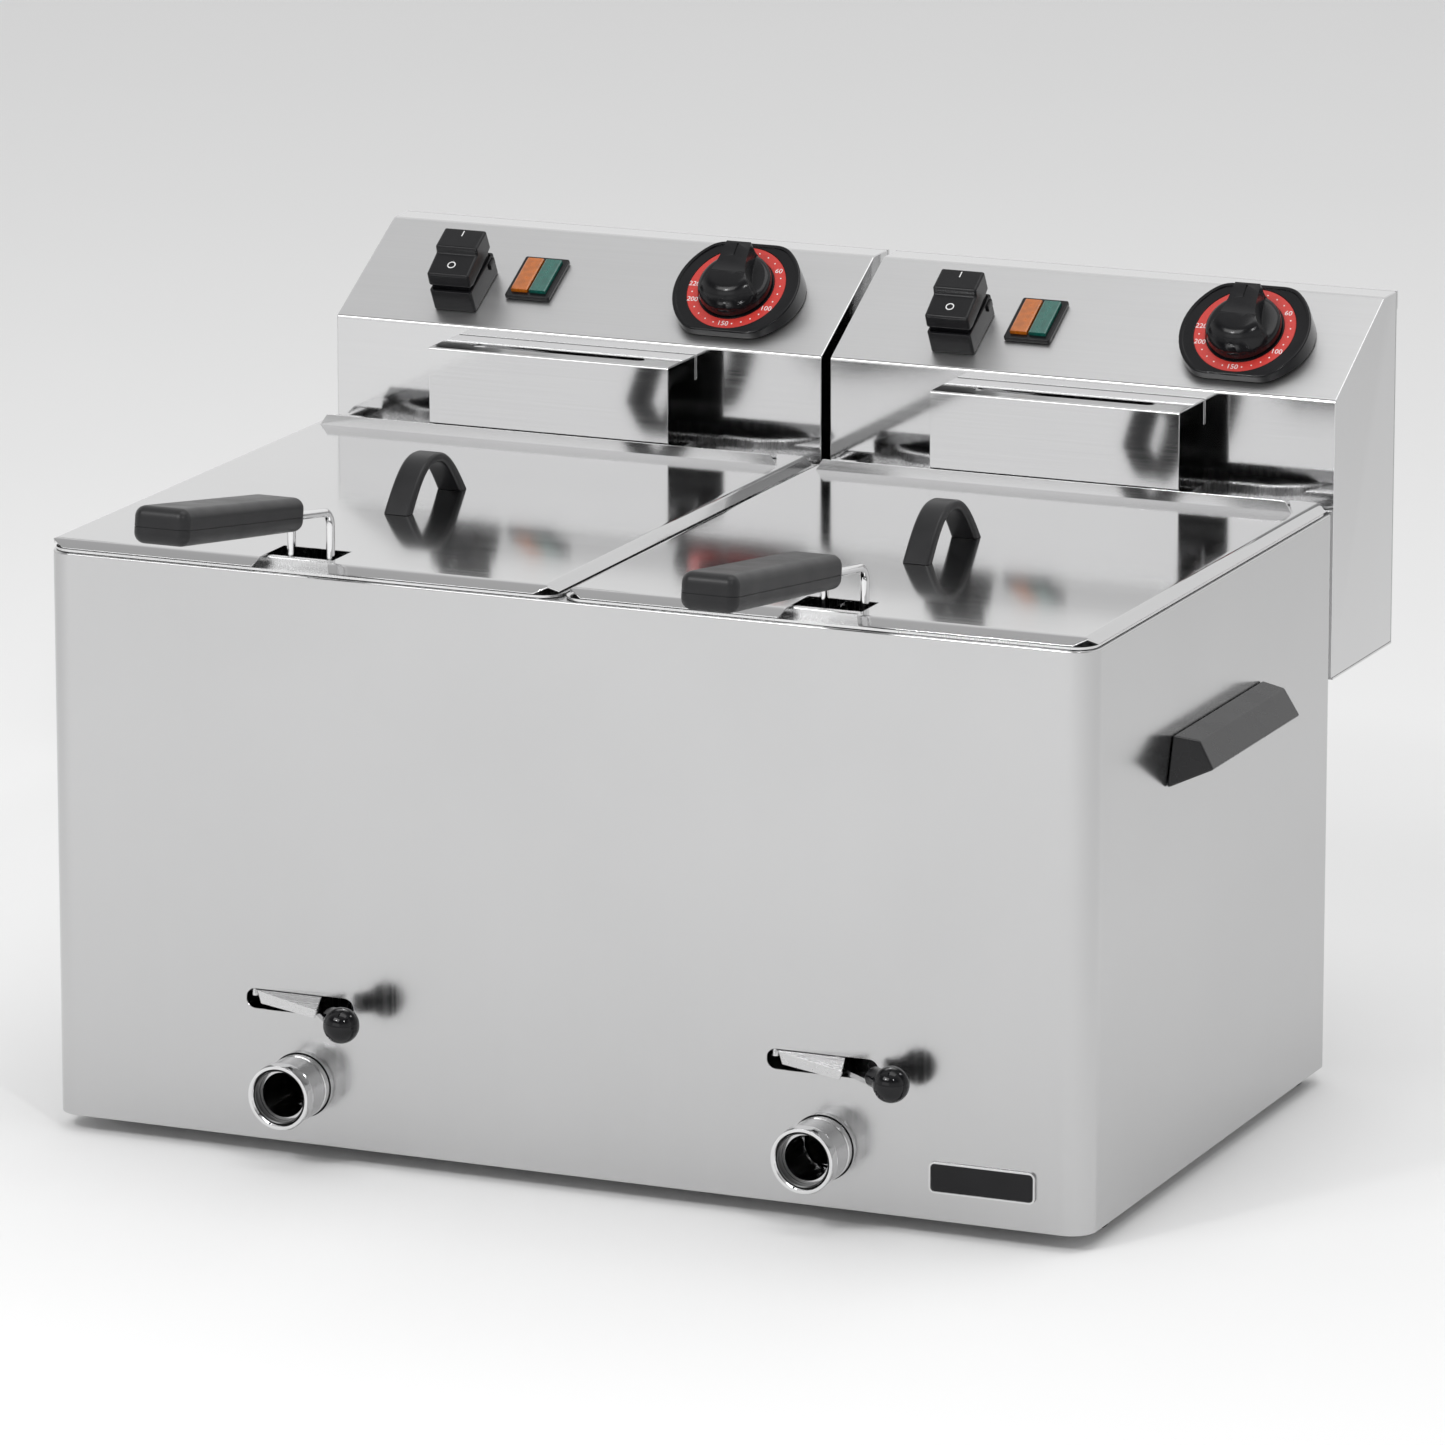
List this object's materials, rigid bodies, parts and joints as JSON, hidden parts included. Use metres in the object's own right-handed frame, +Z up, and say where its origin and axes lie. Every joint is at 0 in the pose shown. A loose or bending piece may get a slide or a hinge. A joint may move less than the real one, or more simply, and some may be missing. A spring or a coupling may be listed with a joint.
{
  "type": "deep fryer",
  "caption": "Counter-top electric deep fryer with twin tanks, lift-off lids, wire baskets, sloped control heads and front drain taps",
  "frame": {"origin": "Bottom centre of the bounding box: on the table plane under the feet, midway between the two tanks in X and midway between the front grip's tip and the rear cable glands in Y.", "axes": "+X to the user's right along the width, +Y from the user towards the back, +Z up. The control heads are at +Y and the drain taps at -Y."},
  "size_m": [0.6012, 0.5944, 0.407],
  "materials": {
    "badge": "gloss black plastic",
    "basket_grip_left": "matte black moulded plastic",
    "basket_grip_right": "matte black moulded plastic",
    "basket_handle_wire_left": "bright plated or polished steel",
    "basket_handle_wire_right": "bright plated or polished steel",
    "basket_left": "bright plated or polished steel",
    "basket_right": "bright plated or polished steel",
    "bottom_plate": "brushed stainless steel",
    "cable_gland_left": "matte black moulded plastic",
    "cable_gland_right": "matte black moulded plastic",
    "casing": "brushed stainless steel",
    "dial_plate_left": "gloss black plastic",
    "dial_plate_right": "gloss black plastic",
    "drain_ball_left": "bright plated or polished steel",
    "drain_ball_right": "bright plated or polished steel",
    "drain_lever_left": "brushed stainless steel",
    "drain_lever_right": "brushed stainless steel",
    "drain_nipple_left": "bright plated or polished steel",
    "drain_nipple_right": "bright plated or polished steel",
    "drain_valve_body_left": "bright plated or polished steel",
    "drain_valve_body_right": "bright plated or polished steel",
    "element_cover_left": "brushed stainless steel",
    "element_cover_right": "brushed stainless steel",
    "foot_front_left": "black rubber",
    "foot_front_right": "black rubber",
    "foot_rear_left": "black rubber",
    "foot_rear_right": "black rubber",
    "head_back_cover_left": "brushed stainless steel",
    "head_back_cover_right": "brushed stainless steel",
    "head_shell_left": "brushed stainless steel",
    "head_shell_right": "brushed stainless steel",
    "heating_element_left": "heat-darkened steel sheath",
    "heating_element_right": "heat-darkened steel sheath",
    "knob_left": "matte black moulded plastic",
    "knob_right": "matte black moulded plastic",
    "lamp_amber_left": "translucent amber plastic",
    "lamp_amber_right": "translucent amber plastic",
    "lamp_bezel_left": "gloss black plastic",
    "lamp_bezel_right": "gloss black plastic",
    "lamp_green_left": "translucent green plastic",
    "lamp_green_right": "translucent green plastic",
    "latch_plate_left": "polished stainless steel",
    "latch_plate_right": "polished stainless steel",
    "lever_knob_left": "gloss black plastic",
    "lever_knob_right": "gloss black plastic",
    "lid_handle_left": "matte black moulded plastic",
    "lid_handle_right": "matte black moulded plastic",
    "lid_left": "polished stainless steel",
    "lid_right": "polished stainless steel",
    "side_handle_left": "matte black moulded plastic",
    "side_handle_right": "matte black moulded plastic",
    "switch_housing_left": "matte black moulded plastic",
    "switch_housing_right": "matte black moulded plastic",
    "switch_rocker_left": "matte black moulded plastic",
    "switch_rocker_right": "matte black moulded plastic",
    "tank_left": "polished stainless steel",
    "tank_right": "polished stainless steel",
    "thermostat_left": "matte black moulded plastic",
    "thermostat_right": "matte black moulded plastic"
  },
  "bodies": {
    "cabinet": {"casing": "casing", "bottom_plate": "bottom_plate", "tank_left": "tank_left", "tank_right": "tank_right", "drain_valve_body_left": "drain_valve_body_left", "drain_valve_body_right": "drain_valve_body_right", "drain_nipple_left": "drain_nipple_left", "drain_nipple_right": "drain_nipple_right", "foot_front_left": "foot_front_left", "foot_front_right": "foot_front_right", "foot_rear_left": "foot_rear_left", "foot_rear_right": "foot_rear_right", "side_handle_left": "side_handle_left", "side_handle_right": "side_handle_right", "badge": "badge"},
    "head_left": {"head_shell_left": "head_shell_left", "head_back_cover_left": "head_back_cover_left", "element_cover_left": "element_cover_left", "heating_element_left": "heating_element_left", "thermostat_left": "thermostat_left", "dial_plate_left": "dial_plate_left", "switch_housing_left": "switch_housing_left", "lamp_bezel_left": "lamp_bezel_left", "lamp_amber_left": "lamp_amber_left", "lamp_green_left": "lamp_green_left", "cable_gland_left": "cable_gland_left"},
    "basket_unit_left": {"basket_left": "basket_left", "basket_handle_wire_left": "basket_handle_wire_left", "basket_grip_left": "basket_grip_left"},
    "lid_unit_left": {"lid_left": "lid_left", "lid_handle_left": "lid_handle_left"},
    "dial_knob_left": {"knob_left": "knob_left"},
    "rocker_left": {"switch_rocker_left": "switch_rocker_left"},
    "tap_lever_left": {"drain_ball_left": "drain_ball_left", "drain_lever_left": "drain_lever_left", "lever_knob_left": "lever_knob_left"},
    "latch_left": {"latch_plate_left": "latch_plate_left"},
    "head_right": {"head_shell_right": "head_shell_right", "head_back_cover_right": "head_back_cover_right", "element_cover_right": "element_cover_right", "heating_element_right": "heating_element_right", "thermostat_right": "thermostat_right", "dial_plate_right": "dial_plate_right", "switch_housing_right": "switch_housing_right", "lamp_bezel_right": "lamp_bezel_right", "lamp_amber_right": "lamp_amber_right", "lamp_green_right": "lamp_green_right", "cable_gland_right": "cable_gland_right"},
    "basket_unit_right": {"basket_right": "basket_right", "basket_handle_wire_right": "basket_handle_wire_right", "basket_grip_right": "basket_grip_right"},
    "lid_unit_right": {"lid_right": "lid_right", "lid_handle_right": "lid_handle_right"},
    "dial_knob_right": {"knob_right": "knob_right"},
    "rocker_right": {"switch_rocker_right": "switch_rocker_right"},
    "tap_lever_right": {"drain_ball_right": "drain_ball_right", "drain_lever_right": "drain_lever_right", "lever_knob_right": "lever_knob_right"},
    "latch_right": {"latch_plate_right": "latch_plate_right"}
  },
  "joints": [
    {"name": "head_left_lift", "type": "slide", "parent": "cabinet", "child": "head_left", "axis": [0, 0, 1], "range_m": [0, 0.2]},
    {"name": "basket_left_lift", "type": "slide", "parent": "head_left", "child": "basket_unit_left", "axis": [0, 0, 1], "range_m": [0, 0.18]},
    {"name": "lid_left_lift", "type": "slide", "parent": "basket_unit_left", "child": "lid_unit_left", "axis": [0, 0, 1], "range_m": [0, 0.15]},
    {"name": "knob_left_turn", "type": "hinge", "parent": "head_left", "child": "dial_knob_left", "pos_m": [-0.0616, 0.21706, 0.38412], "axis": [0, -0.6561, 0.7547], "range_deg": [-271, 0]},
    {"name": "switch_left_rock", "type": "hinge", "parent": "head_left", "child": "rocker_left", "pos_m": [-0.2156, 0.21058, 0.37933], "axis": [1, 0, 0], "range_deg": [-14, 0]},
    {"name": "tap_left_turn", "type": "hinge", "parent": "cabinet", "child": "tap_lever_left", "pos_m": [-0.1412, -0.13383, 0.0774], "axis": [0, 0, 1], "range_deg": [-77, 13]},
    {"name": "latch_left_press", "type": "hinge", "parent": "cabinet", "child": "latch_left", "pos_m": [-0.1674, -0.14413, 0.084], "axis": [0, 0, 1], "range_deg": [0, 22], "stiffness_Nm_per_rad": 0.05},
    {"name": "head_right_lift", "type": "slide", "parent": "cabinet", "child": "head_right", "axis": [0, 0, 1], "range_m": [0, 0.2]},
    {"name": "basket_right_lift", "type": "slide", "parent": "head_right", "child": "basket_unit_right", "axis": [0, 0, 1], "range_m": [0, 0.18]},
    {"name": "lid_right_lift", "type": "slide", "parent": "basket_unit_right", "child": "lid_unit_right", "axis": [0, 0, 1], "range_m": [0, 0.15]},
    {"name": "knob_right_turn", "type": "hinge", "parent": "head_right", "child": "dial_knob_right", "pos_m": [0.2208, 0.21706, 0.38412], "axis": [0, -0.6561, 0.7547], "range_deg": [-271, 0]},
    {"name": "switch_right_rock", "type": "hinge", "parent": "head_right", "child": "rocker_right", "pos_m": [0.0668, 0.21058, 0.37933], "axis": [1, 0, 0], "range_deg": [-14, 0]},
    {"name": "tap_right_turn", "type": "hinge", "parent": "cabinet", "child": "tap_lever_right", "pos_m": [0.1412, -0.13383, 0.0774], "axis": [0, 0, 1], "range_deg": [-90, 0]},
    {"name": "latch_right_press", "type": "hinge", "parent": "cabinet", "child": "latch_right", "pos_m": [0.115, -0.14413, 0.084], "axis": [0, 0, 1], "range_deg": [0, 22], "stiffness_Nm_per_rad": 0.05}
  ]
}
